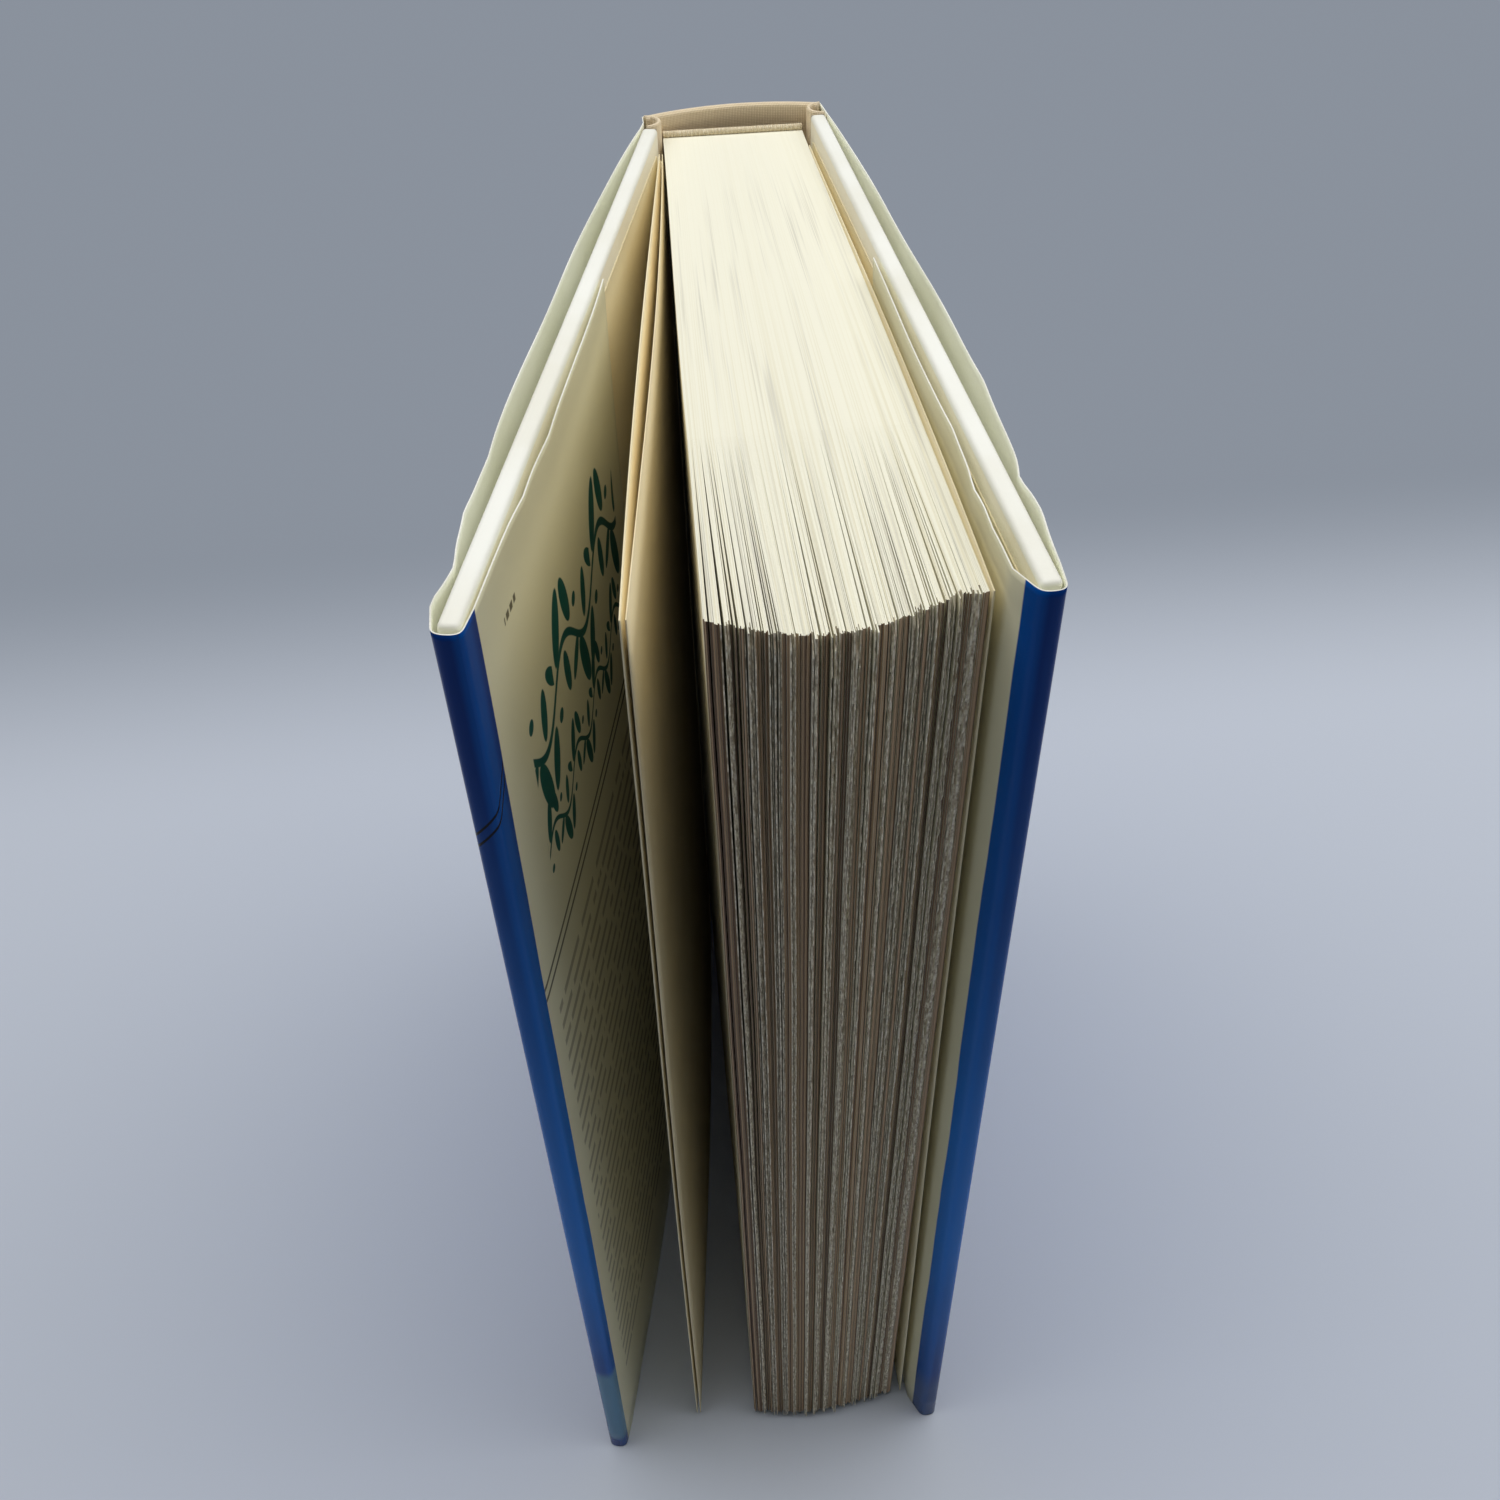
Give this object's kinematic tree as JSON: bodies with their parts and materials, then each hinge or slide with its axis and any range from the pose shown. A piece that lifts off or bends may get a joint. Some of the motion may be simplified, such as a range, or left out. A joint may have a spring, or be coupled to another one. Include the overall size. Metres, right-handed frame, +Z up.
{
  "type": "hardcover book",
  "caption": "Standing hardcover book, slightly ajar, in a loose glossy dust jacket, with a rough-cut page block, loose front leaves and covers that swing at cloth joints.",
  "frame": {"origin": "Middle of the spine's tail edge, on the surface that the book stands on.", "axes": "+Z up from tail to head, +Y out of the spine away from the pages, +X across the thickness from the front cover to the back cover."},
  "size_m": [0.0765, 0.1689, 0.241],
  "materials": {
    "pages": "matte",
    "endpaper": "matte",
    "lining": "matte",
    "band": "matte",
    "card": "matte",
    "spine_cloth": "matte",
    "board": "matte",
    "cover_paper": "matte",
    "jacket": "gloss"
  },
  "bodies": {
    "book_block": {"text_block": "pages", "first_leaf": "pages", "front_free_endpaper": "endpaper", "back_free_endpaper": "endpaper", "spine_lining": "lining", "head_band": "band", "tail_band": "band", "spine_inlay": "card", "spine_cloth": "spine_cloth", "jacket_spine": "jacket"},
    "front_cover": {"front_board": "board", "front_cover_paper": "cover_paper", "front_pastedown": "endpaper", "jacket_front": "jacket"},
    "back_cover": {"back_board": "board", "back_cover_paper": "cover_paper", "back_pastedown": "endpaper", "jacket_back": "jacket"}
  },
  "joints": [
    {"name": "front_cover_hinge", "type": "hinge", "parent": "book_block", "child": "front_cover", "pos_m": [-0.0175, -0.007, 0], "axis": [0, 0, -1], "range_deg": [-9, 148], "deforming": ["first_leaf", "front_free_endpaper", "jacket_spine"]},
    {"name": "back_cover_hinge", "type": "hinge", "parent": "book_block", "child": "back_cover", "pos_m": [0.01821, -0.00488, 0], "axis": [0, 0, 1], "range_deg": [0, 157], "deforming": ["jacket_spine"]}
  ]
}
